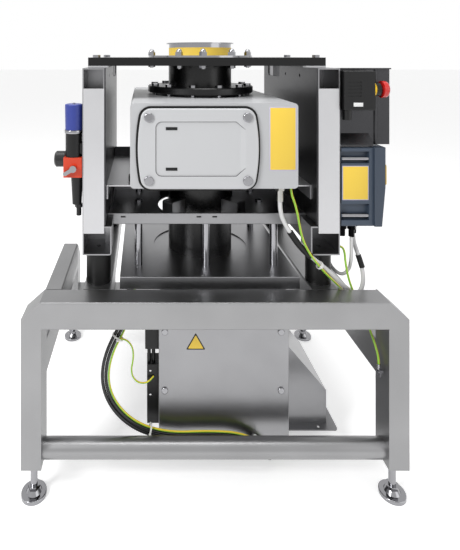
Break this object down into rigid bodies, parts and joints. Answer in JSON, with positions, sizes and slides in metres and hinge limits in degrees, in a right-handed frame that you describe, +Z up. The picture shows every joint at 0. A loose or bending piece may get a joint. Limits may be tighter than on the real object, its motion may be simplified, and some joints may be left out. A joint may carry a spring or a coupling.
{
  "type": "gravity feed pipe metal detector",
  "caption": "Free-fall pipe metal detector on a welded stand: inlet pipe, box detector head, reject valve with side chute, control box and air service unit.",
  "frame": {"origin": "on the floor, under the middle of the stand", "axes": "+Z up along the falling product, +Y from the detector front to the back, +X to the reject chute"},
  "size_m": [0.8815, 0.6465, 1.043],
  "materials": {
    "stand_steel": "satin, bead-blasted stainless",
    "sheet_steel": "ground stainless sheet",
    "polished_steel": "polished stainless",
    "head_grey": "satin light grey powder coat",
    "black_polymer": "dark machined polymer plate",
    "black_pipe": "black polyethylene",
    "black_rubber": "smooth rubber",
    "black_plastic": "moulded",
    "box_slate": "moulded, fine grain",
    "knob_blue": "moulded",
    "valve_red": "gloss lacquer",
    "stop_red": "moulded",
    "switch_yellow": "moulded",
    "cable_grey": "smooth cable jacket",
    "hose_black": "smooth hose",
    "earth_green": "striped wire jacket"
  },
  "bodies": {
    "stand": {"front_leg_right": "stand_steel", "front_leg_left": "stand_steel", "rear_legs": "stand_steel", "front_beam": "stand_steel", "rear_beam": "stand_steel", "side_rails": "stand_steel", "front_cross_tube": "stand_steel", "beam_arm": "stand_steel", "damper_rails": "stand_steel", "vibration_dampers": "black_rubber", "front_columns": "sheet_steel", "side_plates": "sheet_steel", "rear_columns": "sheet_steel", "column_covers": "sheet_steel", "top_plate": "black_polymer", "inlet_pipe": "polished_steel", "product_pipe": "black_pipe", "line_bolts": "polished_steel", "detector_head": "head_grey", "detector_cover": "head_grey", "cover_gasket": "black_rubber", "cover_screws": "polished_steel", "head_brackets": "sheet_steel", "rear_panel": "sheet_steel", "tray": "sheet_steel", "pipe_clamps": "sheet_steel", "spacers": "polished_steel", "lower_plate": "sheet_steel", "valve_body": "sheet_steel", "valve_cover": "sheet_steel", "reject_chute": "sheet_steel", "rotary_actuator": "head_grey", "solenoid_valve": "black_plastic", "control_box": "box_slate", "control_box_cover": "box_slate", "switch_plate": "switch_yellow", "wall_plate": "sheet_steel", "estop_box": "black_plastic", "cable_glands": "polished_steel", "regulator": "black_plastic", "filter_bowl": "black_plastic", "shutoff_valve": "valve_red", "detector_cable": "cable_grey", "loop_cable": "cable_grey", "earth_wire_head": "earth_green", "earth_wire_leg": "earth_green", "valve_hose": "hose_black", "valve_cable": "hose_black", "valve_earth_wire": "earth_green", "bracket_earth_wire": "earth_green"},
    "foot_front_left": {"foot_front_left": "polished_steel"},
    "foot_front_right": {"foot_front_right": "polished_steel"},
    "foot_rear_left": {"foot_rear_left": "polished_steel"},
    "foot_rear_right": {"foot_rear_right": "polished_steel"},
    "flap": {"reject_flap": "sheet_steel"},
    "switch_knob": {"switch_knob": "stop_red"},
    "estop_stem": {"estop_stem": "black_plastic"},
    "estop_head": {"estop_button": "stop_red"},
    "regulator_knob": {"regulator_knob": "knob_blue"},
    "shutoff_handle": {"shutoff_handle": "polished_steel"}
  },
  "joints": [
    {"name": "foot_front_left_screw", "type": "slide", "parent": "stand", "child": "foot_front_left", "axis": [0, 0, -1], "range_m": [0, 0.03]},
    {"name": "foot_front_right_screw", "type": "slide", "parent": "stand", "child": "foot_front_right", "axis": [0, 0, -1], "range_m": [0, 0.03]},
    {"name": "foot_rear_left_screw", "type": "slide", "parent": "stand", "child": "foot_rear_left", "axis": [0, 0, -1], "range_m": [0, 0.03]},
    {"name": "foot_rear_right_screw", "type": "slide", "parent": "stand", "child": "foot_rear_right", "axis": [0, 0, -1], "range_m": [0, 0.03]},
    {"name": "reject_flap_swing", "type": "hinge", "parent": "stand", "child": "flap", "pos_m": [0.088, -0.047, 0.128], "axis": [0, -1, 0], "range_deg": [0, 42]},
    {"name": "estop_push", "type": "slide", "parent": "stand", "child": "estop_stem", "axis": [-1, 0, 0], "range_m": [0, 0.005], "stiffness_N_per_m": 1500},
    {"name": "estop_twist", "type": "hinge", "parent": "estop_stem", "child": "estop_head", "pos_m": [0.4, -0.261, 0.928], "axis": [1, 0, 0], "range_deg": [0, 45], "stiffness_Nm_per_rad": 0.15},
    {"name": "main_switch_turn", "type": "hinge", "parent": "stand", "child": "switch_knob", "pos_m": [0.417, -0.239, 0.725], "axis": [1, 0, 0], "range_deg": [-90, 0]},
    {"name": "regulator_turn", "type": "hinge", "parent": "stand", "child": "regulator_knob", "pos_m": [-0.327, -0.247, 0.86], "axis": [0, 0, 1], "continuous": true},
    {"name": "shutoff_turn", "type": "hinge", "parent": "stand", "child": "shutoff_handle", "pos_m": [-0.3247, -0.273, 0.743], "axis": [0, 1, 0], "range_deg": [-90, 0]}
  ]
}
